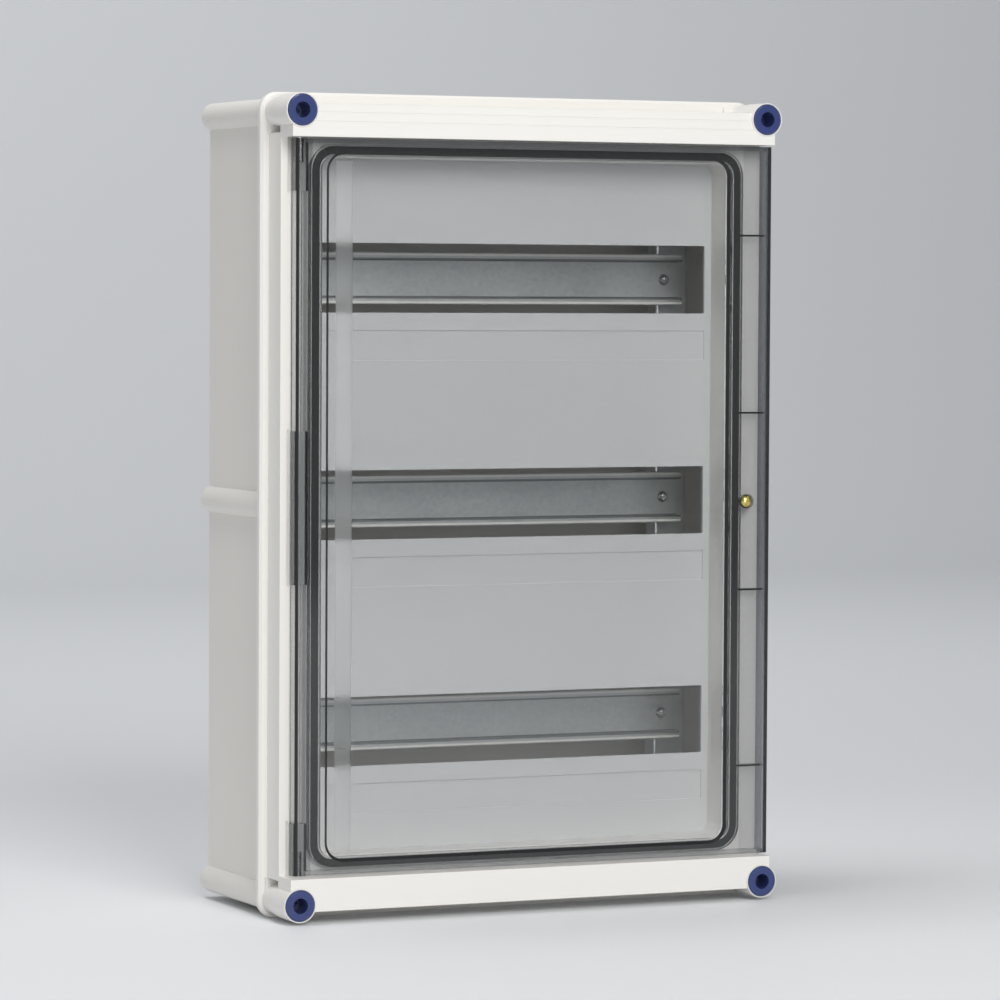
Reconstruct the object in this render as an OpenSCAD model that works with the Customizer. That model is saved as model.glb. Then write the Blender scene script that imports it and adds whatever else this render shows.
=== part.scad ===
// Wall-mounted distribution enclosure for three rows of modular devices on 35 mm top-hat rails.
// Every piece is drawn lying on its back: X across, Y up the face, Z out from the wall plane.
// stand() then turns it upright: front towards -Y, +X to the right, foot of the lid at Z = 0.

/* [Enclosure] */
// Width of the lid over its flange
lid_w = 362; // [300:1:480]
// Height of the lid over its flange
lid_h = 542; // [520:1:760]
// Depth of the back box, from the wall to the joint
box_d = 110; // [95:1:160]
// Wall thickness of the mouldings
wall = 3; // [2:0.1:3.6]
// Thickness of the box's back wall
back_t = 3.5; // [2.5:0.1:6]
// Flange edge to the outside of the box wall, sideways
box_inset_x = 9; // [8:0.1:11]
// Flange edge to the outside of the box wall, up and down
box_inset_y = 10; // [9:0.1:12]
// Outside diameter of the columns on the box walls
column_d = 18.4; // [15:0.1:22.4]
// Outside of the box wall to the seal in the joint
joint_out = 2; // [1.5:0.1:2.5]
// Corner radius of the joint's seal, which passes inside the cover screws
joint_r = 42; // [38:0.5:52]
// Width of the joint's seal
joint_seal_w = 2.4; // [2:0.1:2.8]

/* [Lid] */
// Thickness of the flange
flange_t = 6; // [4:0.1:8]
// Corner radius of the flange
flange_r = 12; // [6:0.1:14]
// Chamfer on the flange's front edge
flange_chamfer = 1.8; // [0.5:0.1:2.5]
// Rise of the corner pads round the screw cups above the flange
pad_rise = 2; // [1:0.1:4]
// Step from the flange's edge in to the corner pads
pad_inset = 4; // [2:0.1:5]
// Step from the flange's edge in to the raised body
shoulder = 5.6; // [4:0.1:7]
// Rise of the door's landing face above the joint
face_rise = 26.6; // [24:0.1:32]
// Rise of the sealing rim above the landing face
rim_rise = 1.4; // [0.8:0.1:2]
// Rise of the top and bottom bands above the landing face
band_rise = 20.9; // [19:0.1:26]
// Height of each band
band_h = 21.6; // [18:0.1:26]
// Flange edge to the band's outer edge
band_inset = 8.5; // [7:0.1:10]
// Landing face left clear beside the hinge gutter
hinge_land = 6.9; // [5:0.1:9]
// Width of the rebate in the landing face's closing edge
closing_rebate_w = 3; // [1:0.1:5]
// Landing face left clear between a band and the sealing rim
head_land = 3.9; // [3:0.1:8]
// Corner radius of the clear opening
opening_r = 8; // [4:0.5:12]
// Depth of the hinge gutter below the landing face
gutter_d = 3.6; // [3:0.1:5]

/* [Door] */
// Rise of the door's front face above the landing face
door_rise = 10.4; // [9.6:0.1:12]
// Wall thickness of the door
door_t = 2.6; // [2:0.1:3]
// Gap between the door's ends and the bands
door_gap = 0.9; // [0.5:0.1:2]
// Gap between the door's closing wall and the lid's side
closing_gap = 1; // [0.8:0.1:3]
// Reach of the closing wall behind the door's front face
closing_reach = 26; // [20:0.5:28]
// Radius on the door's long outer edges
door_edge_r = 2; // [1.6:0.1:2.4]
// Pane's edge in from the clear opening at the sides
pane_in_x = 3; // [1:0.1:4]
// Pane's edge out from the clear opening at the head and foot
pane_out_y = 3; // [1:0.1:4]
// Corner radius of the pane
pane_r = 12; // [6:0.5:20]
// Depth of the pane below the door's front face
pane_step = 1.6; // [0.8:0.1:2]
// Width of the door seal
seal_w = 5; // [4:0.1:6]
// Clear opening to the door seal
seal_offset = 2.3; // [1.8:0.1:2.6]
// Thickness of the door's ribs
rib_t = 1.2; // [0.8:0.1:1.6]
// Spacing of the ribs across the closing strip
rib_pitch = 120; // [90:1:130]
// Width of the satin strip behind the pane
satin_w = 11.4; // [8:0.1:20]
// Pane's edge to the satin strip
satin_inset = 6.2; // [4:0.1:20]

/* [Hinge and screws] */
// Outside diameter of the hinge knuckles
knuckle_d = 11.2; // [9.6:0.1:12]
// Length of the end knuckles
end_knuckle = 34; // [20:1:50]
// Length of the middle knuckle
middle_knuckle = 100; // [60:1:130]
// Diameter of the hinge pins
pin_d = 4; // [3:0.1:5]
// Length of the hinge pins
pin_len = 22; // [16:1:30]
// Running clearance round the hinge pins
pin_clearance = 0.1; // [0.05:0.01:0.15]
// Head diameter of the door screw
lock_head_d = 9.5; // [8:0.1:10.5]
// Shank diameter of the door screw
lock_d = 4.6; // [4:0.1:5]
// Head diameter of the cover screws
head_d = 20.4; // [18:0.1:21]
// Height of the cover screws' heads
head_h = 20; // [16:0.5:20]
// Diameter of the tool hole in the cover screws
tool_hole_d = 10.2; // [8:0.1:12]
// Shank diameter of the cover screws
shank_d = 10.6; // [9:0.1:11]
// Rim of the lid's screw cups round the heads
cup_rim = 0.75; // [0.6:0.05:1.2]
// How much the screw cups narrow towards the flange
cup_draft = 1.7; // [0:0.1:2.5]
// Radial clearance round the screw heads
play = 0.25; // [0.15:0.01:0.3]

/* [Rows] */
// Distance between rows
row_pitch = 150; // [125:1:150]
// Height of a device window
window_h = 46; // [45:0.5:48]
// Width of one module
module_w = 18; // [17.5:0.1:18]
// Least frame between a window and the clear opening
window_margin = 3; // [3:0.5:12]
// Thickness of the faceplate
plate_t = 2.5; // [2:0.1:3]
// Front of the flange down to the faceplate's front
plate_drop = 1.5; // [1:0.1:2.4]
// Faceplate front to the rail's front flanges
device_depth = 45.5; // [44:0.1:47]
// Below a window to its label recess
label_drop = 11.7; // [8:0.1:14]
// Height of a label recess
label_h = 19.8; // [12:0.1:22]
// Depth of a label recess
label_depth = 0.6; // [0.3:0.1:1]
// Width of a rail over its flanges
rail_w = 35; // [35:0.1:35.3]
// Depth of a rail
rail_d = 7.5; // [7.5:0.1:15]
// Width across the outside of a rail's hat
rail_hat_w = 27; // [25:0.1:27.2]
// Sheet thickness of a rail
rail_t = 1; // [0.9:0.05:1.2]
// Rail past the window at each end
rail_past = 6; // [4:0.5:8]
// Rail screw in from the rail's end
rail_screw_in = 11; // [8:0.5:14]
// Width of an upright
upright_w = 25; // [22:0.5:28]
// Sheet thickness of an upright
upright_t = 2; // [1.5:0.1:2.5]
// Depth of an upright's folded sides
upright_fold = 12; // [8:0.5:16]

/* [Wall fixing] */
// Spacing of the wall screws, up and down
fix_y = 470; // [300:1:480]
// Diameter of the wall-screw holes
fix_d = 6.5; // [5:0.1:8]

/* [Hidden] */
$fn = 48;
EPS = 0.01;

WHITE = [0.93, 0.93, 0.90];
PLATE_GREY = [0.80, 0.82, 0.82];
SMOKE = [0.45, 0.48, 0.50, 0.45];
RUBBER = [0.16, 0.17, 0.17];
ZINC = [0.72, 0.74, 0.75];
BLUE = [0.16, 0.20, 0.48];
BRASS = [0.72, 0.62, 0.28];

// Heights above the wall plane
face_z = box_d + face_rise;
rim_z = face_z + rim_rise;
band_z = face_z + band_rise;
cup_z = band_z + 0.7;
total_d = cup_z + 0.8;
flange_z = box_d + flange_t;
door_z = face_z + door_rise;
skin_z = door_z - door_t;
pane_z = door_z - pane_step;
seal_top_z = pane_z - door_t - 0.4;
plate_z = flange_z - plate_drop;
rail_z = plate_z - device_depth;
rail_back_z = rail_z - rail_d;
upright_back_z = rail_back_z - upright_t;

// Raised body, bands, sealing rim and clear opening, as half sizes
body_x = lid_w / 2 - shoulder;
band_y1 = lid_h / 2 - band_inset;
band_y0 = band_y1 - band_h;
body_y = band_y0 + wall + 0.1;
seal_play = 0.2;
seal_out = seal_offset + seal_w;
rim_w = seal_out + 1.7;
gutter_w = knuckle_d - 0.7;
open_x = body_x - hinge_land - gutter_w - rim_w;
open_y = band_y0 - head_land - rim_w;

// Cover screws, their cups and the columns behind them
cup_r = head_d / 2 + play + cup_rim;
screw_x = lid_w / 2 - cup_r - 0.8;
screw_y = lid_h / 2 - cup_r - 1.8;
shank_r = shank_d / 2;
stem_r = shank_r - 1.3;
insert_r = shank_r + 1.2;
insert_z0 = box_d - 12;
insert_z1 = box_d - 2;
bore_z = box_d - 22;
seat_z = face_z;
head_z = total_d - head_h;

// Box and the joint between box and lid
box_x = lid_w / 2 - box_inset_x;
box_y = lid_h / 2 - box_inset_y;
joint_x = box_x + joint_out;
joint_y = box_y + joint_out;
rim_out = joint_out + joint_seal_w / 2 + 1.3;

// Door, hinge and lock
gutter_x0 = hinge_land - body_x;
gutter_x1 = -(open_x + rim_w);
door_left = gutter_x0 + 0.5;
door_right = body_x + closing_gap + door_t;
door_y = band_y0 - door_gap;
hinge_x = door_left + knuckle_d / 2 - 2;
hinge_z = door_z - knuckle_d / 2 - 0.1;
pin_grip = screw_y - sqrt(pow(head_d / 2 + play, 2) - pow(hinge_x + screw_x, 2)) - 1.2 - band_y0;
knuckles = [[door_y - end_knuckle, door_y], [-middle_knuckle / 2, middle_knuckle / 2],
    [-door_y, end_knuckle - door_y]];
lock_boss_r = lock_d / 2 + 1.5;
lock_x = open_x + seal_out + seal_play + lock_boss_r + 1.1;
insert_floor_z = face_z - 8.6;
rib_z = rim_z + 1;
pane_x = open_x - pane_in_x;
pane_y = open_y + pane_out_y;

// Rows, rails and uprights
rows = [row_pitch, 0, -row_pitch];
modules = floor(2 * (open_x - window_margin) / module_w);
window_w = modules * module_w;
rail_half = window_w / 2 + rail_past;
rail_screw_x = rail_half - rail_screw_in;
rail_screw_r = 2;
upright_x0 = rail_screw_x - 6;
upright_x = upright_x0 + upright_w / 2;
upright_half = 1.5 * row_pitch + 14;
pillar_screw_r = 2;
fix_x = 2 * (upright_x0 - 13);

// Faceplate and its posts
plate_x = open_x + 16.5;
plate_y = open_y + 8;
plate_r = 12;
post_r = 4;
post_x = plate_x - 5;
post_y = [open_y - 31, row_pitch / 2 - 10];
post_screw_r = 1.4;

// ---- Helpers -------------------------------------------------------------------------

// Turns the drawing upright
module stand() translate([0, total_d / 2, lid_h / 2]) rotate([90, 0, 0]) children();

// A copy at each of the four corners given by half sizes
module at_corners(x, y)
    for (sx = [-1, 1], sy = [-1, 1])
        translate([sx * x, sy * y]) children();

// Rounded rectangle of half sizes x, y
module rounded(x, y, r) {
    square([2 * x, 2 * (y - r)], center = true);
    square([2 * (x - r), 2 * y], center = true);
    at_corners(x - r, y - r) circle(r);
}

// Plate with the outline of its children between two heights
module slab(z0, z1) translate([0, 0, z0]) linear_extrude(z1 - z0) children();

// Sweeps a section round a rounded rectangle; the section's x points outwards, its y up
module loop(x, y, r) {
    for (side = [[0, x, y], [90, y, x], [180, x, y], [270, y, x]])
        rotate(side[0]) translate([side[1], 0, 0]) rotate([90, 0, 0])
            linear_extrude(2 * (side[2] - r), center = true) children();
    for (corner = [[0, 1, 1], [90, -1, 1], [180, -1, -1], [270, 1, -1]])
        translate([corner[1] * (x - r), corner[2] * (y - r), 0]) rotate(corner[0])
            rotate_extrude(angle = 90) translate([r, 0]) children();
}

// Upright ring between two outward offsets from the path and two heights
module ring_section(o0, o1, z0, z1) translate([o0, z0]) square([o1 - o0, z1 - z0]);

// Section of a folded sheet channel with rounded bends, open towards +y
module channel_section(w, d, t, r) difference() {
    union() {
        translate([-w / 2, r]) square([w, d - r]);
        translate([r - w / 2, 0]) square([w - 2 * r, d]);
        for (s = [-1, 1]) translate([s * (w / 2 - r), r]) circle(r);
    }
    translate([t - w / 2, r]) square([w - 2 * t, d]);
    translate([r - w / 2, t]) square([w - 2 * r, d]);
    for (s = [-1, 1]) translate([s * (w / 2 - r), r]) circle(r - t);
}

// Pan-headed screw standing on its seat at z = 0: head above, shank below
module pan_screw(head_r, rise, shank_r, shank_len) {
    dome_r = (head_r * head_r + rise * rise) / (2 * rise);
    difference() {
        rotate_extrude() intersection() {
            translate([0, rise - dome_r]) circle(dome_r);
            square([head_r + 1, rise + 1]);
        }
        for (a = [0, 90]) rotate(a)
            translate([-head_r * 0.5, -0.5, rise * 0.55]) cube([head_r, 1, rise]);
    }
    translate([0, 0, -shank_len]) cylinder(r = shank_r, h = shank_len + EPS);
}

// ---- Back box ------------------------------------------------------------------------

module pillar_axes()
    for (s = [-1, 1], k = [-1.5, -0.5, 0.5, 1.5])
        translate([s * upright_x, k * row_pitch]) children();

// Moulded box: walls, rim with the seal groove, wall columns and pillars for the uprights
module back_box() color(WHITE) stand() difference() {
    union() {
        difference() {
            union() {
                slab(0, box_d) rounded(box_x, box_y, 8);
                slab(box_d - 5, box_d) rounded(box_x + rim_out, box_y + rim_out, 11);
                slab(0, box_d) {
                    at_corners(screw_x, screw_y) circle(d = column_d);
                    for (s = [-1, 1]) translate([s * screw_x, 0]) circle(d = column_d);
                }
            }
            slab(back_t, box_d + 1) rounded(box_x - wall, box_y - wall, joint_r - 5);
        }
        slab(back_t - 1, back_t + 4) at_corners(fix_x / 2, fix_y / 2) circle(d = fix_d + 8);
        pillar_axes() translate([0, 0, back_t - 1])
            cylinder(r1 = 9, r2 = 6.5, h = upright_back_z - back_t + 1);
    }
    slab(insert_z0, box_d + 1) at_corners(screw_x, screw_y) circle(insert_r);
    slab(bore_z, insert_z0 + EPS) at_corners(screw_x, screw_y) circle(insert_r - 0.6);
    slab(upright_back_z - 22, upright_back_z + 1) pillar_axes() circle(pillar_screw_r + 0.05);
    slab(-1, back_t + 5) at_corners(fix_x / 2, fix_y / 2) circle(d = fix_d);
    loop(joint_x, joint_y, joint_r)
        ring_section(-joint_seal_w / 2 - 0.05, joint_seal_w / 2 + 0.05, box_d - 2.4, box_d + 1);
}

// Bayonet sleeves in the corner columns, slotted up and down for the screws' lugs
module column_inserts() color(ZINC) stand() at_corners(screw_x, screw_y) difference() {
    slab(insert_z0, insert_z1) circle(insert_r - 0.05);
    slab(insert_z0 - 1, insert_z1 + 1) {
        circle(stem_r + 0.3);
        square([3.2, 2 * (shank_r + 0.3)], center = true);
    }
}

// ---- Rail frame ----------------------------------------------------------------------

// Galvanised channel that carries the rails, its folds towards the wall
module upright(side) color(ZINC) stand() difference() {
    translate([side * upright_x, 0, rail_back_z]) rotate([90, 0, 0])
        linear_extrude(2 * upright_half, center = true) mirror([0, 1])
            channel_section(upright_w, upright_fold, upright_t, upright_t + 0.6);
    slab(upright_back_z - 1, rail_back_z + 1) {
        for (k = [-1.5, -0.5, 0.5, 1.5])
            translate([side * upright_x, k * row_pitch]) circle(pillar_screw_r + 0.3);
        for (y = rows) translate([side * rail_screw_x, y]) circle(rail_screw_r);
    }
}

module upright_left() upright(-1);

module upright_right() upright(1);

module upright_screws() color(ZINC) stand()
    pillar_axes() translate([0, 0, rail_back_z]) pan_screw(4.5, 2.6, pillar_screw_r, 18);

// Top-hat rail with rounded bends, its web against the uprights
module din_rail(y) color(ZINC) stand() difference() {
    translate([0, y, rail_back_z]) rotate([90, 0, 90])
        linear_extrude(2 * rail_half, center = true) {
            channel_section(rail_hat_w, rail_d, rail_t, rail_t + 0.5);
            for (s = [-1, 1]) translate([s * (rail_w + rail_hat_w) / 4, rail_d - rail_t / 2])
                square([(rail_w - rail_hat_w) / 2 + 2 * EPS, rail_t], center = true);
        }
    slab(rail_back_z - 1, rail_back_z + rail_t + 1)
        for (s = [-1, 1]) translate([s * rail_screw_x, y]) circle(rail_screw_r + 0.2);
}

module din_rail_top() din_rail(rows[0]);

module din_rail_middle() din_rail(rows[1]);

module din_rail_bottom() din_rail(rows[2]);

module rail_screws() color(ZINC) stand()
    for (s = [-1, 1], y = rows) translate([s * rail_screw_x, y, rail_back_z + rail_t])
        pan_screw(4, 2.8, rail_screw_r - 0.05, 8);

// ---- Faceplate -----------------------------------------------------------------------

module post_axes() for (y = post_y) at_corners(post_x, y) children();

// Plate over the rails: a device window and a label recess for each row, lip turned back
module faceplate() color(PLATE_GREY) stand() difference() {
    slab(plate_z - plate_t - 3, plate_z) rounded(plate_x, plate_y, plate_r);
    slab(plate_z - plate_t - 4, plate_z - plate_t) difference() {
        rounded(plate_x - 2, plate_y - 2, plate_r - 2);
        for (s = [-1, 1]) translate([0, s * row_pitch / 2])
            square([2 * plate_x, 2], center = true);
    }
    slab(plate_z - plate_t - 1, plate_z + 1) {
        for (y = rows) translate([0, y]) rounded(window_w / 2, window_h / 2, 1);
        post_axes() circle(post_screw_r + 0.3);
    }
    slab(plate_z - label_depth, plate_z + 1)
        for (y = rows) translate([0, y - window_h / 2 - label_drop - label_h / 2])
            square([window_w, label_h], center = true);
}

module faceplate_screws() color(ZINC) stand()
    post_axes() translate([0, 0, plate_z - plate_t]) rotate([180, 0, 0])
        pan_screw(3.2, 2, post_screw_r, plate_t + 9);

// ---- Lid -----------------------------------------------------------------------------

// Raised body seen from the front, inset by i; it narrows beside the screw cups
module body_outline(i) {
    square([2 * (body_x - i), 2 * (body_y - i)], center = true);
    square([2 * (screw_x - 3 - i), 2 * (band_y1 - i)], center = true);
}

// Flange with its front edge chamfered
module flange() {
    c = flange_chamfer;
    difference() {
        slab(box_d, flange_z) rounded(lid_w / 2, lid_h / 2, flange_r);
        loop(lid_w / 2, lid_h / 2, flange_r) polygon([
            [-c - 0.5, flange_z + 0.5], [0.5, flange_z - c - 0.5], [0.5, flange_z + 0.5]]);
    }
}

// Corner pads, set in from the flange's edge, on which the screw cups stand
module corner_pads() slab(flange_z - 1, flange_z + pad_rise) intersection() {
    rounded(lid_w / 2 - pad_inset, lid_h / 2 - pad_inset, flange_r - pad_inset);
    at_corners(lid_w / 2, lid_h / 2)
        square([2 * (lid_w / 2 - screw_x + cup_r + 1), 2 * (lid_h / 2 - body_y)], center = true);
}

// Screw cups, slimmer below the seat of the screw's head
module cups() at_corners(screw_x, screw_y) rotate_extrude() polygon([
    [0, box_d], [cup_r - cup_draft, box_d], [cup_r - cup_draft, flange_z],
    [cup_r, seat_z - 2], [cup_r, cup_z], [0, cup_z]]);

// Bands above and below the door; the top one steps back twice towards its outer edge
module bands() {
    for (step = [[0, 10.1, 0], [10.1, 16.1, 0.5], [16.1, band_h, 1.2]])
        slab(face_z - 1, band_z - step[2])
            translate([-body_x, band_y0 + step[0]]) square([2 * body_x, step[1] - step[0]]);
    slab(face_z - 1, band_z)
        translate([-body_x, -band_y1]) square([2 * body_x, band_h]);
}

// Hollow of the lid as seen from the box
module pocket_outline() difference() {
    intersection() {
        body_outline(wall);
        rounded(body_x - wall, band_y1 - wall, joint_r - 2);
    }
    rounded(open_x + wall, open_y + wall, opening_r + wall);
    at_corners(screw_x, screw_y) circle(cup_r);
    post_axes() circle(post_r);
    translate([lock_x, 0]) circle(lock_boss_r + 2.5);
}

// Moulded lid: flange, raised body, bands, screw cups, sealing rim and hinge gutter
module front_frame() color(WHITE) stand() difference() {
    union() {
        flange();
        slab(flange_z - 1, face_z) body_outline(0);
        corner_pads();
        bands();
        cups();
        loop(open_x, open_y, opening_r) ring_section(0, rim_w, face_z - wall, rim_z);
        loop(joint_x, joint_y, joint_r) ring_section(-0.6, 0.6, box_d - 1.2, box_d + 1);
    }
    difference() {
        slab(box_d - 1, face_z - wall) pocket_outline();
        translate([-body_x, -band_y0, face_z - gutter_d - wall])
            cube([body_x - open_x - wall + EPS, 2 * band_y0, wall + gutter_d]);
    }
    slab(face_z - wall - 1, band_z - 1.2 - wall)
        for (s = [-1, 1]) translate([0, s * (band_y0 + band_h / 2)])
            square([2 * (screw_x - cup_r - wall), band_h - 2 * wall], center = true);
    slab(box_d - 2, rim_z + 1) rounded(open_x, open_y, opening_r);
    slab(box_d - 1, plate_z) rounded(plate_x + 0.5, plate_y + 0.5, plate_r + 0.5);
    slab(plate_z - 1, plate_z + 11) post_axes() circle(post_screw_r + 0.05);
    slab(seat_z, total_d) at_corners(screw_x, screw_y) circle(head_d / 2 + play);
    slab(box_d - 1, total_d) at_corners(screw_x, screw_y) circle(shank_r + 0.3);
    gutter_cuts();
    translate([body_x - closing_rebate_w, -band_y0, face_z - 2.5])
        cube([closing_rebate_w + 1, 2 * band_y0, 3]);
    hinge_axes() translate([0, 0, -1]) cylinder(d = pin_d, h = pin_grip + 1);
    slab(insert_floor_z, face_z + 1) translate([lock_x, 0]) circle(lock_boss_r);
    slab(face_z, rim_z + 1) translate([lock_x, 0]) circle(lock_boss_r + 0.1);
}

// Hinge gutter in the landing face, wider where the knuckles turn
module gutter_cuts() {
    translate([gutter_x0, -band_y0, face_z - gutter_d])
        cube([gutter_x1 - gutter_x0, 2 * band_y0, gutter_d + rim_rise + 1]);
    for (k = knuckles) {
        y0 = max(k[0] - door_gap, -band_y0);
        y1 = min(k[1] + door_gap, band_y0);
        translate([gutter_x0 - 2, y0, face_z - gutter_d])
            cube([gutter_w, y1 - y0, gutter_d + 1]);
    }
}

// Hinge axis at the face of each band, z pointing into the band
module hinge_axes() for (s = [-1, 1])
    translate([hinge_x, s * band_y0, hinge_z]) rotate([-s * 90, 0, 0]) children();

module frame_gasket() color(RUBBER) stand()
    loop(joint_x, joint_y, joint_r)
        ring_section(-joint_seal_w / 2, joint_seal_w / 2, box_d - 2.4, box_d - 1.2);

module hinge_pins() color(ZINC) stand()
    hinge_axes() translate([0, 0, pin_grip - pin_len]) cylinder(d = pin_d, h = pin_len);

// ---- Cover screws --------------------------------------------------------------------

// Quarter-turn screw: flanged head with a deep tool hole, stem with two lugs
module cover_screw(sx, sy) color(BLUE) stand() translate([sx * screw_x, sy * screw_y, 0]) {
    difference() {
        union() {
            rotate_extrude() polygon([
                [0, head_z], [head_d / 2, head_z], [head_d / 2, total_d - 0.8],
                [head_d / 2 - 0.8, total_d], [0, total_d]]);
            translate([0, 0, box_d]) cylinder(r = shank_r, h = head_z - box_d + EPS);
        }
        translate([0, 0, total_d - head_h + 4]) cylinder(d = tool_hole_d, h = head_h);
        slab(total_d - head_h + 1, total_d - head_h + 5)
            square([tool_hole_d * 0.8, 1.6], center = true);
    }
    translate([0, 0, insert_z0 - 6]) cylinder(r = stem_r, h = box_d - insert_z0 + 6 + EPS);
    slab(insert_z0 - 5, insert_z0 - 0.5) intersection() {
        circle(shank_r);
        square([2 * shank_r, 2.6], center = true);
    }
}

module cover_screw_top_left() cover_screw(-1, 1);

module cover_screw_top_right() cover_screw(1, 1);

module cover_screw_bottom_left() cover_screw(-1, -1);

module cover_screw_bottom_right() cover_screw(1, -1);

module cover_screw_seals() color(RUBBER) stand()
    slab(seat_z, head_z - 0.3) at_corners(screw_x, screw_y) difference() {
        circle(head_d / 2 - 0.6);
        circle(shank_r + 0.5);
    }

// ---- Door ----------------------------------------------------------------------------

// Section of the door across its height, without the pane's recess
module door_section() {
    r = door_edge_r;
    difference() {
        union() {
            translate([door_left, face_z]) square([door_t, door_z - r - face_z]);
            translate([door_left, skin_z]) square([door_right - door_left, door_t - r]);
            translate([door_left + r, skin_z]) square([door_right - door_left - 2 * r, door_t]);
            translate([door_right - door_t, door_z - closing_reach])
                square([door_t, closing_reach - r]);
            for (x = [door_left + r, door_right - r]) translate([x, door_z - r]) circle(r);
        }
    }
}

// Clear moulded door: skin with a sunk pane, turned-back walls, seal channel, ribs, knuckles
module door() color(SMOKE) stand() difference() {
    half = pane_step / 2;
    rib0 = seal_offset - seal_play - rib_t;
    rib1 = seal_out + seal_play;
    union() {
        difference() {
            rotate([90, 0, 0]) linear_extrude(2 * door_y, center = true) door_section();
            slab(skin_z - 1, door_z + 1) rounded(pane_x + half, pane_y + half, pane_r + half);
        }
        slab(pane_z - door_t, pane_z) rounded(pane_x - half, pane_y - half, pane_r - half);
        loop(pane_x, pane_y, pane_r) polygon([
            [half, door_z], [-half, pane_z], [-half, pane_z - door_t], [half, skin_z]]);
        for (s = [-1, 1]) translate([door_left, s * (door_y - door_t / 2) - door_t / 2, face_z + 0.8])
            cube([door_right - door_left, door_t, skin_z - face_z - 0.8 + EPS]);
        loop(open_x, open_y, opening_r) {
            ring_section(rib0, rib1 + rib_t, seal_top_z, skin_z + EPS);
            ring_section(rib0, rib0 + rib_t, rib_z, seal_top_z + EPS);
            ring_section(rib1, rib1 + rib_t, rib_z, seal_top_z + EPS);
        }
        for (k = [-1.5, -0.5, 0.5, 1.5])
            translate([open_x + rib1 + rib_t / 2, k * rib_pitch - rib_t / 2, rib_z])
                cube([door_right - door_t / 2 - open_x - rib1 - rib_t / 2, rib_t, skin_z - rib_z + EPS]);
        slab(rim_z + 0.6, skin_z + EPS) translate([lock_x, 0]) circle(lock_boss_r);
        for (k = knuckles) translate([hinge_x, k[1], hinge_z]) rotate([90, 0, 0])
            cylinder(d = knuckle_d, h = k[1] - k[0]);
    }
    hinge_axes() translate([0, 0, -(pin_len - pin_grip + 1)])
        cylinder(d = pin_d + 2 * pin_clearance, h = pin_len - pin_grip + 2);
    slab(rim_z, door_z + 1) translate([lock_x, 0]) circle(lock_d / 2 + 0.1);
    slab(pane_z, door_z + 1) translate([lock_x, 0]) circle(lock_head_d / 2 + 0.3);
    slab(pane_z - door_t - 1, pane_z - door_t + 0.3)
        translate([satin_inset - pane_x, pane_out_y + 1 - pane_y])
            square([satin_w, 2 * (pane_y - pane_out_y - 1)]);
}

module door_gasket() color(RUBBER) stand()
    loop(open_x, open_y, opening_r)
        ring_section(seal_offset, seal_out, rim_z + 0.1, seal_top_z);

// Slotted screw that locks the door, necked for its retaining ring
module door_screw() color(BRASS) stand() translate([lock_x, 0, 0]) {
    rise = 2.8;
    head_r = lock_head_d / 2;
    dome_r = (head_r * head_r + rise * rise) / (2 * rise);
    translate([0, 0, pane_z]) difference() {
        rotate_extrude() intersection() {
            translate([0, rise - dome_r]) circle(dome_r);
            square([head_r, rise + 1]);
        }
        rotate(-15) translate([-0.65, -head_r, rise - 1.5]) cube([1.3, 2 * head_r, 3]);
    }
    rotate_extrude() polygon([
        [0, insert_floor_z + 2], [lock_d / 2 - 0.6, insert_floor_z + 2],
        [lock_d / 2, insert_floor_z + 3], [lock_d / 2, rim_z - 0.6],
        [lock_d / 2 - 0.5, rim_z - 0.6], [lock_d / 2 - 0.5, rim_z + 0.4],
        [lock_d / 2, rim_z + 0.4], [lock_d / 2, pane_z + EPS], [0, pane_z + EPS]]);
}

// Ring that keeps the screw in the door
module door_screw_retainer() color(ZINC) stand() translate([lock_x, 0, 0])
    slab(rim_z - 0.5, rim_z + 0.3) difference() {
        circle(lock_boss_r - 0.2);
        circle(lock_d / 2 - 0.45);
    }

// Sleeve in the lid that takes the screw's tip
module door_screw_insert() color(BRASS) stand() translate([lock_x, 0, 0])
    slab(insert_floor_z, face_z) difference() {
        circle(lock_boss_r - 0.02);
        circle(lock_d / 2 + 0.35);
    }

back_box();
column_inserts();
upright_left();
upright_right();
upright_screws();
din_rail_top();
din_rail_middle();
din_rail_bottom();
rail_screws();
faceplate();
faceplate_screws();
front_frame();
frame_gasket();
cover_screw_top_left();
cover_screw_top_right();
cover_screw_bottom_left();
cover_screw_bottom_right();
cover_screw_seals();
hinge_pins();
door();
door_gasket();
door_screw();
door_screw_retainer();
door_screw_insert();
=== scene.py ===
"""Looks of a wall enclosure for rail-mounted devices: finishes, studio, light and camera.

Every length is in metres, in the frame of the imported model: the front faces -Y, the foot is at Z = 0.
"""

import logging
import math
from dataclasses import dataclass
from enum import Enum
from typing import Protocol, Union

import bpy
from mathutils import Matrix, Vector


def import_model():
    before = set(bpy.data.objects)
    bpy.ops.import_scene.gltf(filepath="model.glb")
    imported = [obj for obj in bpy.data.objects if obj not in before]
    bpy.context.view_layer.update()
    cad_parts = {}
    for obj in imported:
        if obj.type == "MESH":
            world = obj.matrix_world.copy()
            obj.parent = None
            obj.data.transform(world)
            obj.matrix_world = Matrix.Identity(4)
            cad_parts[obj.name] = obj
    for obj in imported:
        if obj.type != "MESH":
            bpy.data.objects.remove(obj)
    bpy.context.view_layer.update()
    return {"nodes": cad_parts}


LOG = logging.getLogger("enclosure")
Rgb = tuple[float, float, float]

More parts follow.
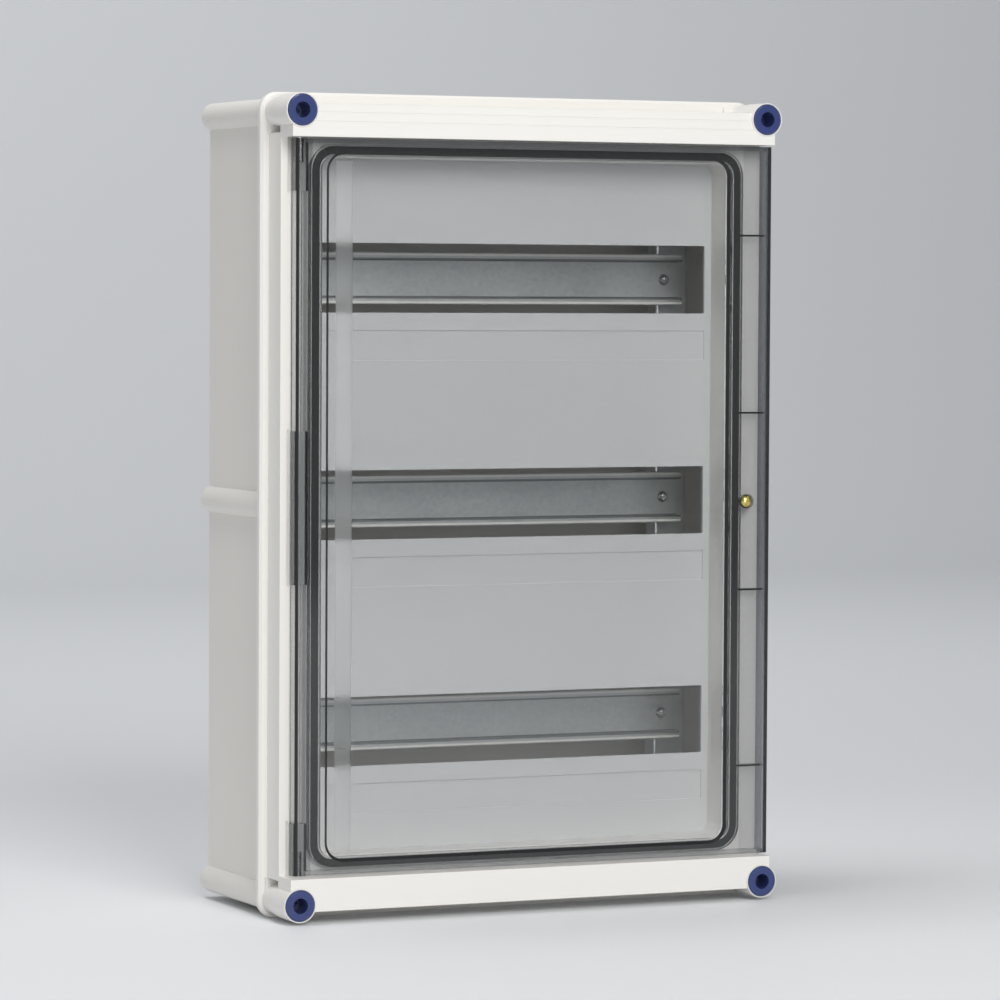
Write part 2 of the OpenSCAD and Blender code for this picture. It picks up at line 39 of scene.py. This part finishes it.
MIDDLE_HEIGHT = 0.271
"""Half the height: the middle rail, the middle rib and the pane's centre."""
RAIL_PITCH = 0.15
RIB_PITCH = 0.12
ROWS_BELOW = 2.0
"""How many rows below the middle one the count of rails or ribs starts."""
PANE_EDGE = -0.146
"""Left edge of the door's pane, from which the satin strip is measured."""
# Half widths of painted lines: painted shade in a rail's creases, a painted highlight on its lips, painted
# shade on the door's ribs.
CREASE_HALF = 0.0009
LIP_HALF = 0.0007
RIB_HALF = 0.0008
CREASE_SHADE = 0.5
# How much of the dull metal's colour a crease keeps under its painted shade.
"""How much of the dull metal's colour a crease keeps."""
# Painted highlight on the rails' lips, in place of light caught by their rounded edges; the lips are also
# made rougher.
LIP_HIGHLIGHT: Rgb = (0.97, 0.96, 0.91)
LIP_ROUGHER = 0.25
CLOSING_DARKENING = 0.45
# How far the closing strip is darkened towards the darker colour of the hinge strip's painted shade.
"""How far the closing strip goes towards the deep tint."""
EDGE_SHADE = 0.8
# How dark painted shade marks the closing edge.
"""How dark the closing edge is marked."""
# Colour of the painted shade lines on the door: the pane's step, the left front corner, the closing edge and
# the ribs.
SHADE_LINE_COLOUR: Rgb = (0.012, 0.012, 0.013)


class Tone(Enum):
    """Colour of a lamp's light."""

    WARM = (1.0, 0.985, 0.955)
    PLAIN = (1.0, 1.0, 1.0)


class Signal:
    """A number running through a material's nodes, with the arithmetic signs of Python."""

    def __init__(self, shader: "Shader", socket: bpy.types.NodeSocket) -> None:
        """Wraps a socket.

        Args:
            shader: the material that the socket belongs to.
            socket: the output that carries the number.
        """
        self.shader = shader
        self.socket = socket

    def _join(self, operation: str, first: "Number", second: "Number") -> "Signal":
        """Adds one Math node.

        Args:
            operation: the node's operation.
            first: the first number.
            second: the second number.

        Returns:
            The node's result.
        """
        return self.shader.math(operation, first, second)

    def __add__(self, other: "Number") -> "Signal":
        """Sum."""
        return self._join("ADD", self, other)

    def __radd__(self, other: "Number") -> "Signal":
        """Sum with a plain number first."""
        return self._join("ADD", other, self)

    def __sub__(self, other: "Number") -> "Signal":
        """Difference."""
        return self._join("SUBTRACT", self, other)

    def __rsub__(self, other: "Number") -> "Signal":
        """Difference from a plain number."""
        return self._join("SUBTRACT", other, self)

    def __mul__(self, other: "Number") -> "Signal":
        """Product."""
        return self._join("MULTIPLY", self, other)

    def __rmul__(self, other: "Number") -> "Signal":
        """Product with a plain number first."""
        return self._join("MULTIPLY", other, self)

    def __gt__(self, other: "Number") -> "Signal":
        """1 where this is the larger, 0 elsewhere."""
        return self._join("GREATER_THAN", self, other)

    def __lt__(self, other: "Number") -> "Signal":
        """1 where this is the smaller, 0 elsewhere."""
        return self._join("LESS_THAN", self, other)

    def __abs__(self) -> "Signal":
        """Size without its sign."""
        return self._join("ABSOLUTE", self, 0.0)


Number = Union[Signal, float]


class Shader:
    """A material under construction."""

    def __init__(self, name: str) -> None:
        """Makes an empty material.

        Args:
            name: the material's name.
        """
        self.material = bpy.data.materials.new(name)
        self.material.use_nodes = True
        self.tree = self.material.node_tree
        self.tree.nodes.clear()

    def node(self, kind: str, settings: dict | None = None, **inputs: object) -> bpy.types.Node:
        """Adds a node, sets it up and feeds its sockets.

        Args:
            kind: the node's type without the leading "ShaderNode".
            settings: properties of the node, set before its sockets.
            inputs: values or links by socket name, with _ for a space; inN is the socket number N.

        Returns:
            The node.
        """
        made = self.tree.nodes.new("ShaderNode" + kind)
        for key, value in (settings or {}).items():
            if key == "stops":
                self._set_stops(made.color_ramp, value)
            else:
                setattr(made, key, value)
        for key, value in inputs.items():
            number = key[2:]
            if key.startswith("in") and number.isdigit():
                socket = made.inputs[int(number)]
            else:
                socket = made.inputs[key.replace("_", " ")]
            self.feed(socket, value)
        return made

    @staticmethod
    def _set_stops(ramp: bpy.types.ColorRamp, stops: list[tuple[float, Rgb]]) -> None:
        """Gives a ramp its stops.

        Args:
            ramp: the ramp of a Color Ramp node.
            stops: positions with their colours, in rising order.
        """
        while len(ramp.elements) < len(stops):
            ramp.elements.new(1.0)
        for element, (place, colour) in zip(ramp.elements, stops):
            element.position = place
            element.color = (*colour, 1.0)

    def feed(self, socket: bpy.types.NodeSocket, value: object) -> None:
        """Links or sets one socket.

        Args:
            socket: the socket to feed.
            value: a signal, another socket, a colour or a plain number.
        """
        if isinstance(value, Signal):
            self.tree.links.new(value.socket, socket)
        elif isinstance(value, bpy.types.NodeSocket):
            self.tree.links.new(value, socket)
        elif socket.type == "RGBA" and len(value) == 3:
            socket.default_value = (*value, 1.0)
        else:
            socket.default_value = value

    def math(self, operation: str, *values: "Number") -> Signal:
        """Adds a Math node.

        Args:
            operation: the node's operation.
            values: its numbers or signals.

        Returns:
            Its result.
        """
        inputs = {f"in{index}": value for index, value in enumerate(values)}
        return Signal(self, self.node("Math", {"operation": operation}, **inputs).outputs[0])

    def position(self, scale: Rgb = (1.0, 1.0, 1.0)) -> bpy.types.NodeSocket:
        """Place on the piece in its own coordinates.

        Args:
            scale: stretch of the pattern along each axis.

        Returns:
            The vector socket.
        """
        place = self.node("TexCoord").outputs["Object"]
        return self.node("Mapping", None, Vector=place, Scale=scale).outputs[0]

    def axes(self) -> tuple[Signal, Signal, Signal]:
        """Splits the place on the piece.

        Returns:
            The coordinates across, out and up.
        """
        split = self.node("SeparateXYZ", None, Vector=self.position())
        return Signal(self, split.outputs[0]), Signal(self, split.outputs[1]), Signal(self, split.outputs[2])

    def noise(self, scale: float, detail: float, stretch: Rgb = (1.0, 1.0, 1.0)) -> Signal:
        """Cloudy pattern from 0 to 1.

        Args:
            scale: features for each metre.
            detail: octaves of finer pattern.
            stretch: stretch of the pattern along each axis.

        Returns:
            The pattern.
        """
        made = self.node("TexNoise", None, Vector=self.position(stretch), Scale=scale, Detail=detail)
        return Signal(self, made.outputs[0])

    def cells(self, scale: float) -> bpy.types.NodeSocket:
        """A random colour for each crystal of a cellular pattern.

        Args:
            scale: cells for each metre.

        Returns:
            The colour socket.
        """
        made = self.node("TexVoronoi", None, Vector=self.position(), Scale=scale)
        return made.outputs["Color"]

    def between(self, factor: Number, low: Rgb, high: Rgb) -> bpy.types.NodeSocket:
        """Colour that goes from low to high with the factor.

        Args:
            factor: 0 for low, 1 for high.
            low: the first colour.
            high: the second colour.

        Returns:
            The colour socket.
        """
        mixer = self.node("Mix", {"data_type": "RGBA"}, in0=factor, in6=low, in7=high)
        return mixer.outputs[2]

    def relief(self, height: Number, depth: float, edge: float = 0.0) -> bpy.types.NodeSocket:
        """Surface relief, with edges softened over a radius.

        Args:
            height: the relief's pattern.
            depth: how far 1 in the pattern stands out, in metres.
            edge: radius of the softened edges; 0 leaves them sharp.

        Returns:
            The normal's socket.
        """
        inputs: dict[str, object] = {"Height": height, "Distance": depth, "Strength": 1.0}
        if edge > 0.0:
            inputs["Normal"] = self.node("Bevel", {"samples": 4}, Radius=edge).outputs[0]
        return self.node("Bump", None, **inputs).outputs[0]

    def finish(
        self, surface: bpy.types.NodeSocket, inside: bpy.types.NodeSocket | None = None
    ) -> bpy.types.Material:
        """Ends the material.

        Args:
            surface: the shader that it shows.
            inside: what fills it, where light passes through.

        Returns:
            The material.
        """
        end = self.node("OutputMaterial", None, Surface=surface)
        if inside is not None:
            self.feed(end.inputs["Volume"], inside)
        return self.material


class Finish(Protocol):
    """Anything that builds its own material."""

    def build(self) -> bpy.types.Material:
        """Makes the material.

        Returns:
            The material.
        """


@dataclass(frozen=True)
class Moulding:
    """Opaque moulded plastic with a spark-eroded skin and slightly rounded edges."""

    name: str
    colour: Rgb
    shade: Rgb
    roughness: float = 0.42
    grain: float = 1500.0
    depth: float = 0.00003
    edge: float = 0.0006
    coat: float = 0.0

    def build(self) -> bpy.types.Material:
        """Makes the material.

        Returns:
            The material.
        """
        shader = Shader(self.name)
        cloud = shader.noise(scale=9.0, detail=3.0)
        grain = shader.noise(self.grain, detail=2.0)
        flow = shader.noise(scale=60.0, detail=4.0, stretch=(1.0, 1.0, 0.25))
        body = shader.node(
            "BsdfPrincipled",
            None,
            Base_Color=shader.between(cloud, self.shade, self.colour),
            Roughness=self.roughness - 0.06 + 0.12 * flow,
            Normal=shader.relief(grain + 0.6 * flow, self.depth, self.edge),
            Coat_Weight=self.coat,
            Coat_Roughness=0.12,
        )
        return shader.finish(body.outputs[0])


@dataclass(frozen=True)
class SmokedClear:
    """Polished smoked moulding: it darkens with depth, with a satin strip and a dark step on its pane.

    Attributes:
        name: the material's name.
        colour: tint of the surface.
        deep: darker colour, painted shade on the hinge strip over the shaded gutter, and the colour that the
            closing strip is darkened partway towards.
        passes: what lamp light keeps on its way through.
        depth_colour: colour that the light takes on inside.
        density: how fast it takes it on.
        strip_across: sides of the satin strip.
        strip_height: ends of the satin strip.
        pane_half: half the pane's width and height.
        pane_middle: height of the pane's middle.
        pane_radius: radius of its corners.
        line_half: half the width of the painted shade line on the step.
        line_front: the painted shade line is marked in front of this depth.
        skin_back: back of the door's front skin.
        hinge_edge: painted shade darkens the left front corner, left of the first and in front of the
            second.
        hinge_strip: right side of the strip that holds the knuckles, which painted shade darkens.
        lock_strip: left side of the closing strip.
        closing_edge: painted shade darkens the closing edge right of the first and in front of the second.
        rib_rows: height of the middle rib and distance between the ribs that painted shade darkens.
        ior: refraction of the plastic.
    """

    name: str
    colour: Rgb
    deep: Rgb
    passes: Rgb
    depth_colour: Rgb
    density: float
    strip_across: tuple[float, float]
    strip_height: tuple[float, float]
    pane_half: tuple[float, float]
    pane_middle: float
    pane_radius: float
    line_half: float
    line_front: float
    skin_back: float
    hinge_edge: tuple[float, float]
    hinge_strip: float
    lock_strip: float
    closing_edge: tuple[float, float]
    rib_rows: tuple[float, float]
    ior: float = 1.58

    def pane_line(self, shader: Shader, across: Signal, out: Signal, height: Signal) -> Signal:
        """Marks the painted shade line on the step round the pane.

        Args:
            shader: the material.
            across: the coordinate across the door.
            out: the coordinate out of the door.
            height: the coordinate up the door.

        Returns:
            1 on the step, 0 elsewhere.
        """
        past_x = shader.math("MAXIMUM", abs(across) - (self.pane_half[0] - self.pane_radius), 0.0)
        past_z = shader.math(
            "MAXIMUM", abs(height - self.pane_middle) - (self.pane_half[1] - self.pane_radius), 0.0
        )
        reach = shader.math("SQRT", past_x * past_x + past_z * past_z)
        return (abs(reach - self.pane_radius) < self.line_half) * (out < self.line_front)

    def rib_lines(self, shader: Shader, across: Signal, out: Signal, height: Signal) -> Signal:
        """Marks painted shade on the ribs across the closing strip, where they would look dark end on.

        Args:
            shader: the material.
            across: the coordinate across the door.
            out: the coordinate out of the door.
            height: the coordinate up the door.

        Returns:
            1 on a rib, 0 elsewhere.
        """
        middle, pitch = self.rib_rows
        from_rib = shader.math("PINGPONG", height - (middle - ROWS_BELOW * pitch), pitch / 2) - pitch / 2
        inside = (across > self.lock_strip) * (across < self.closing_edge[0]) * (out > self.skin_back)
        return (abs(from_rib) < RIB_HALF) * inside

    def build(self) -> bpy.types.Material:
        """Makes the material.

        Returns:
            The material.
        """
        shader = Shader(self.name)
        across, out, height = shader.axes()
        strip = (across > self.strip_across[0]) * (across < self.strip_across[1])
        strip = strip * (height > self.strip_height[0]) * (height < self.strip_height[1])
        # Painted shade on the left front corner and on the hinge strip, over the shaded gutter; the closing
        # strip is only darkened partway.
        corner = (across < self.hinge_edge[0]) * (out < self.hinge_edge[1])
        hinge = (across < self.hinge_strip) * (out < self.skin_back)
        closing = CLOSING_DARKENING * (across > self.lock_strip)
        # Painted shade along the closing edge.
        edge = EDGE_SHADE * (across > self.closing_edge[0]) * (out < self.closing_edge[1])
        ripple = shader.noise(scale=7.0, detail=2.0)
        clear = shader.node(
            "BsdfPrincipled",
            None,
            Base_Color=shader.between(shader.math("MAXIMUM", hinge, closing), self.colour, self.deep),
            Roughness=0.015 + 0.3 * strip + 0.01 * ripple,
            Transmission_Weight=1.0,
            IOR=self.ior,
            Normal=shader.relief(ripple, depth=0.0001),
        )
        # Painted shade: the door's dark lines, mixed over the clear plastic.
        dark = shader.node("BsdfPrincipled", None, Base_Color=SHADE_LINE_COLOUR, Roughness=0.35)
        shade_marks = shader.math("MAXIMUM", self.pane_line(shader, across, out, height), corner)
        shade_marks = shader.math("MAXIMUM", shade_marks, edge)
        shade_marks = shader.math("MAXIMUM", shade_marks, self.rib_lines(shader, across, out, height))
        marked = shader.node("MixShader", None, in0=shade_marks, in1=clear.outputs[0], in2=dark.outputs[0])
        lamps = shader.node("BsdfTransparent", None, Color=self.passes)
        ray = shader.node("LightPath").outputs["Is Shadow Ray"]
        seen = shader.node("MixShader", None, in0=ray, in1=marked.outputs[0], in2=lamps.outputs[0])
        smoke = shader.node("VolumeAbsorption", None, Color=self.depth_colour, Density=self.density)
        return shader.finish(seen.outputs[0], smoke.outputs[0])


@dataclass(frozen=True)
class ZincPlate:
    """Rolled steel with a zinc coat: small crystals, rolling lines and dull patches."""

    name: str
    colour: Rgb
    dull: Rgb
    crystal: float = 220.0
    roughness: float = 0.3
    stretch: Rgb = (0.15, 1.0, 1.0)
    edge: float = 0.0003
    rows: tuple[float, float] | None = None
    crease: float = 0.0
    lip: float = 0.0

    def build(self) -> bpy.types.Material:
        """Makes the material.

        Returns:
            The material.
        """
        shader = Shader(self.name)
        crystal = shader.node("SeparateColor", None, Color=shader.cells(self.crystal)).outputs[0]
        crystal = Signal(shader, crystal)
        rolled = shader.noise(scale=900.0, detail=3.0, stretch=self.stretch)
        patch = shader.noise(scale=22.0, detail=4.0)
        face = shader.between(0.4 * patch + 0.6 * crystal, self.dull, self.colour)
        sheen = self.roughness + 0.10 * patch + 0.06 * crystal - 0.06
        # Rails: painted shade darkens the creases and a painted highlight brightens the lips.
        if self.rows is not None:
            face, lip_highlight = self.fold_lines(shader, face)
            sheen = sheen + LIP_ROUGHER * lip_highlight
        body = shader.node(
            "BsdfPrincipled",
            None,
            Base_Color=face,
            Roughness=sheen,
            Metallic=1.0,
            Normal=shader.relief(rolled, depth=0.00002, edge=self.edge),
        )
        return shader.finish(body.outputs[0])

    def fold_lines(self, shader: Shader, face: bpy.types.NodeSocket) -> tuple[bpy.types.NodeSocket, Signal]:
        """Darkens a rail's creases with painted shade and brightens its lips with a painted highlight.

        Args:
            shader: the material.
            face: colour of the flat metal.

        Returns:
            The colour with its painted lines, and 1 on the lips' painted highlight, 0 elsewhere.
        """
        height = shader.axes()[2]
        middle, pitch = self.rows
        from_row = shader.math("PINGPONG", height - (middle - ROWS_BELOW * pitch), pitch / 2)
        # Where the painted crease shade and the painted lip highlight go.
        creased = abs(from_row - self.crease) < CREASE_HALF
        lip_highlight = abs(from_row - self.lip) < LIP_HALF
        crease_shaded = shader.between(creased, face, tuple(CREASE_SHADE * c for c in self.dull))
        return shader.between(lip_highlight, crease_shaded, LIP_HIGHLIGHT), lip_highlight


@dataclass(frozen=True)
class TurnedMetal:
    """Metal turned on a lathe, with fine tool rings and a little tarnish."""

    name: str
    colour: Rgb
    tarnish: Rgb
    roughness: float = 0.22

    def build(self) -> bpy.types.Material:
        """Makes the material.

        Returns:
            The material.
        """
        shader = Shader(self.name)
        spots = shader.noise(scale=420.0, detail=5.0)
        rings = shader.noise(scale=4000.0, detail=1.0, stretch=(1.0, 0.1, 1.0))
        body = shader.node(
            "BsdfPrincipled",
            None,
            Base_Color=shader.between(spots, self.tarnish, self.colour),
            Roughness=self.roughness - 0.05 + 0.18 * spots,
            Metallic=1.0,
            Normal=shader.relief(rings, depth=0.00001, edge=0.0002),
        )
        return shader.finish(body.outputs[0])


@dataclass(frozen=True)
class SealRubber:
    """Dull black seal with a powdery bloom."""

    name: str
    colour: Rgb
    bloom: Rgb

    def build(self) -> bpy.types.Material:
        """Makes the material.

        Returns:
            The material.
        """
        shader = Shader(self.name)
        powder = shader.noise(scale=260.0, detail=4.0)
        body = shader.node(
            "BsdfPrincipled",
            None,
            Base_Color=shader.between(powder, self.colour, self.bloom),
            Roughness=0.55 + 0.25 * powder,
            Normal=shader.relief(powder, depth=0.00004),
        )
        return shader.finish(body.outputs[0])


@dataclass
class Finishes:
    """The finishes of the enclosure and the nodes that wear them."""

    nodes: dict[str, bpy.types.Object]

    def dress(self, finish: Finish, *names: str) -> None:
        """Puts one finish on some nodes.

        Args:
            finish: the finish, which builds its own material.
            names: the nodes that wear it.
        """
        material = finish.build()
        for name in names:
            mesh = self.nodes[name].data
            mesh.materials.clear()
            mesh.materials.append(material)
            LOG.info("%s wears %s", name, material.name)

    def build(self) -> None:
        """Dresses every node."""
        self.dress_plastics()
        self.dress_metals()
        self.dress_small_parts()

    def dress_plastics(self) -> None:
        """Dresses the box, the lid, the faceplate and the door."""
        box = Moulding("box_plastic", colour=(0.83, 0.81, 0.77), shade=(0.80, 0.78, 0.74), roughness=0.5)
        lid = Moulding("lid_plastic", colour=(0.86, 0.845, 0.81), shade=(0.84, 0.825, 0.79), roughness=0.36)
        plate = Moulding(
            "plate_plastic", colour=(0.70, 0.71, 0.70), shade=(0.68, 0.69, 0.685), roughness=0.5, edge=0.0003
        )
        door = SmokedClear(
            "door_clear",
            colour=(0.675, 0.68, 0.695),
            deep=(0.42, 0.43, 0.45),
            passes=(0.97, 0.97, 0.97),
            depth_colour=(0.40, 0.42, 0.44),
            density=78.0,
            strip_across=(PANE_EDGE + 0.0062, PANE_EDGE + 0.0176),
            strip_height=(0.045, 0.497),
            pane_half=(0.1463, 0.2312),
            pane_middle=MIDDLE_HEIGHT,
            pane_radius=0.0122,
            line_half=0.0010,
            line_front=-0.0658,
            skin_back=-0.0642,
            hinge_edge=(-0.1664, -0.0655),
            hinge_strip=-0.1572,
            lock_strip=0.1572,
            closing_edge=(0.1756, -0.0660),
            rib_rows=(MIDDLE_HEIGHT, RIB_PITCH),
        )
        self.dress(box, "back_box")
        self.dress(lid, "front_frame")
        self.dress(plate, "faceplate")
        self.dress(door, "door")

    def dress_metals(self) -> None:
        """Dresses the rails, the uprights and the fixed screws."""
        rail = ZincPlate(
            "rail_zinc",
            colour=(0.78, 0.81, 0.795),
            dull=(0.66, 0.69, 0.675),
            crystal=480.0,
            roughness=0.37,
            edge=0.0008,
            rows=(MIDDLE_HEIGHT, RAIL_PITCH),
            # Heights in each rail row of the painted crease shade and the painted lip highlight.
            crease=0.0128,
            lip=0.0160,
        )
        upright = ZincPlate(
            "upright_zinc",
            colour=(0.78, 0.79, 0.79),
            dull=(0.66, 0.68, 0.68),
            crystal=140.0,
            roughness=0.34,
            stretch=(1.0, 1.0, 0.15),
        )
        screw = ZincPlate(
            "screw_zinc", colour=(0.80, 0.81, 0.80), dull=(0.70, 0.71, 0.72), crystal=900.0, roughness=0.16
        )
        self.dress(rail, "din_rail_top", "din_rail_middle", "din_rail_bottom")
        self.dress(upright, "upright_left", "upright_right")
        self.dress(screw, "upright_screws", "rail_screws", "faceplate_screws", "column_inserts")

    def dress_small_parts(self) -> None:
        """Dresses the turned parts, the seals and the cover screws."""
        steel = TurnedMetal("turned_steel", colour=(0.66, 0.66, 0.66), tarnish=(0.52, 0.52, 0.53))
        brass = TurnedMetal(
            "turned_brass", colour=(0.78, 0.66, 0.25), tarnish=(0.46, 0.38, 0.12), roughness=0.2
        )
        rubber = SealRubber("seal_rubber", colour=(0.075, 0.08, 0.08), bloom=(0.115, 0.12, 0.12))
        blue = Moulding(
            "cover_screw_blue",
            colour=(0.036, 0.058, 0.20),
            shade=(0.028, 0.045, 0.16),
            roughness=0.3,
            grain=2200.0,
            depth=0.00002,
            edge=0.0004,
            coat=0.2,
        )
        self.dress(steel, "hinge_pins", "door_screw_retainer")
        self.dress(brass, "door_screw", "door_screw_insert")
        self.dress(rubber, "frame_gasket", "door_gasket", "cover_screw_seals")
        self.dress(
            blue,
            "cover_screw_top_left",
            "cover_screw_top_right",
            "cover_screw_bottom_left",
            "cover_screw_bottom_right",
        )


@dataclass(frozen=True)
class Lamp:
    """A soft square lamp."""

    name: str
    place: Rgb
    target: Rgb
    size: float
    watts: float
    tone: Tone


OBJECT_MIDDLE: Rgb = (0.0, 0.0, 0.3)
LAMPS = (
    Lamp("key_lamp", (-0.2, -2.8, 1.8), OBJECT_MIDDLE, size=1.4, watts=46.0, tone=Tone.WARM),
    Lamp("front_lamp", (-0.6, -3.4, 0.3), OBJECT_MIDDLE, size=1.2, watts=23.0, tone=Tone.PLAIN),
    Lamp("fill_lamp", (-2.9, -0.6, 1.3), OBJECT_MIDDLE, size=1.6, watts=6.0, tone=Tone.WARM),
    Lamp("top_lamp", (-0.5, 0.1, 2.6), OBJECT_MIDDLE, size=1.2, watts=24.0, tone=Tone.PLAIN),
    Lamp("backdrop_lamp", (0.6, 1.4, 2.6), (1.2, 4.4, 1.6), size=1.6, watts=26.0, tone=Tone.PLAIN),
)


@dataclass
class Studio:
    """Seamless sweep, lamps and camera."""

    sweep_width: float = 12.0
    sweep_front: float = -5.0
    sweep_back: float = 4.4
    sweep_height: float = 5.0
    sweep_bend: float = 1.2
    view_from: Rgb = (-1.309, -2.8835, 0.414)
    yaw: float = 24.55
    pitch: float = -2.58
    roll: float = 0.29
    lens: float = 168.5
    sensor: float = 36.0
    near_edge: float = 0.01
    sky: Rgb = (0.93, 0.94, 0.96)
    sky_strength: float = 0.27

    def build_sweep(self) -> bpy.types.Object:
        """Makes the floor that curves up into the backdrop.

        Returns:
            The sweep.
        """
        bpy.ops.object.select_all(action="DESELECT")
        middle = (self.sweep_front + self.sweep_back) / 2
        bpy.ops.mesh.primitive_plane_add(size=1.0, location=(0.0, middle, 0.0))
        sweep = bpy.context.object
        sweep.name = "studio_sweep"
        sweep.scale = (self.sweep_width, self.sweep_back - self.sweep_front, 1.0)
        bpy.ops.object.transform_apply(location=True, rotation=True, scale=True)
        bpy.ops.object.mode_set(mode="EDIT")
        bpy.ops.mesh.select_mode(type="EDGE")
        bpy.ops.mesh.select_all(action="DESELECT")
        bpy.ops.object.mode_set(mode="OBJECT")
        verts = sweep.data.vertices
        for edge in sweep.data.edges:
            edge.select = all(verts[v].co.y > self.sweep_back - self.near_edge for v in edge.vertices)
        bpy.ops.object.mode_set(mode="EDIT")
        bpy.ops.mesh.extrude_region_move(TRANSFORM_OT_translate={"value": (0.0, 0.0, self.sweep_height)})
        bpy.ops.object.mode_set(mode="OBJECT")
        for edge in sweep.data.edges:
            edge.select = all(
                verts[v].co.y > self.sweep_back - self.near_edge and verts[v].co.z < self.near_edge
                for v in edge.vertices
            )
        bpy.ops.object.mode_set(mode="EDIT")
        bpy.ops.mesh.bevel(offset=self.sweep_bend, segments=24, affect="EDGES")
        bpy.ops.object.mode_set(mode="OBJECT")
        bpy.ops.object.shade_smooth()
        return sweep

    def dress_sweep(self, sweep: bpy.types.Object) -> None:
        """Paints the sweep a plain pale colour.

        Args:
            sweep: the sweep.
        """
        shader = Shader("pale_paper")
        tooth = shader.noise(scale=500.0, detail=3.0)
        body = shader.node(
            "BsdfPrincipled",
            None,
            Base_Color=shader.between(tooth, (0.85, 0.868, 0.892), (0.865, 0.882, 0.905)),
            Roughness=0.6,
            Normal=shader.relief(tooth, depth=0.00005),
        )
        sweep.data.materials.append(shader.finish(body.outputs[0]))

    def hang_lamp(self, lamp: Lamp) -> None:
        """Hangs one lamp and turns it to its target.

        Args:
            lamp: the lamp.
        """
        light = bpy.data.lights.new(lamp.name, "AREA")
        light.size = lamp.size
        light.energy = lamp.watts
        light.color = lamp.tone.value
        holder = bpy.data.objects.new(lamp.name, light)
        holder.location = lamp.place
        aim = Vector(lamp.target) - Vector(lamp.place)
        holder.rotation_euler = aim.to_track_quat("-Z", "Y").to_euler()
        bpy.context.scene.collection.objects.link(holder)

    def build_light(self) -> None:
        """Hangs the lamps and sets the world."""
        for lamp in LAMPS:
            self.hang_lamp(lamp)
        world = bpy.data.worlds.new("studio_air")
        world.use_nodes = True
        background = world.node_tree.nodes["Background"]
        background.inputs["Color"].default_value = (*self.sky, 1.0)
        background.inputs["Strength"].default_value = self.sky_strength
        bpy.context.scene.world = world

    def build_camera(self) -> None:
        """Sets the camera at its place and angle."""
        yaw, pitch, roll = (math.radians(a) for a in (self.yaw, self.pitch, self.roll))
        forward = Vector((math.sin(yaw) * math.cos(pitch), math.cos(yaw) * math.cos(pitch), math.sin(pitch)))
        level = Vector((math.cos(yaw), -math.sin(yaw), 0.0))
        above = level.cross(forward)
        right = level * math.cos(roll) + above * math.sin(roll)
        above = right.cross(forward)
        turned = Matrix((right, above, -forward)).transposed().to_4x4()
        lens = bpy.data.cameras.new("camera")
        lens.lens = self.lens
        lens.sensor_width = self.sensor
        camera = bpy.data.objects.new("camera", lens)
        camera.matrix_world = Matrix.Translation(self.view_from) @ turned
        bpy.context.scene.collection.objects.link(camera)
        bpy.context.scene.camera = camera

    def build(self) -> None:
        """Makes the whole studio."""
        self.dress_sweep(self.build_sweep())
        self.build_light()
        self.build_camera()
        LOG.info("studio is set")


def main() -> None:
    """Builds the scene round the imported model."""
    logging.basicConfig(level=logging.INFO, format="%(name)s: %(message)s")
    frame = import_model()
    bpy.context.scene.view_settings.view_transform = "Standard"
    Studio().build()
    Finishes(frame["nodes"]).build()


if __name__ == "__main__":
    main()
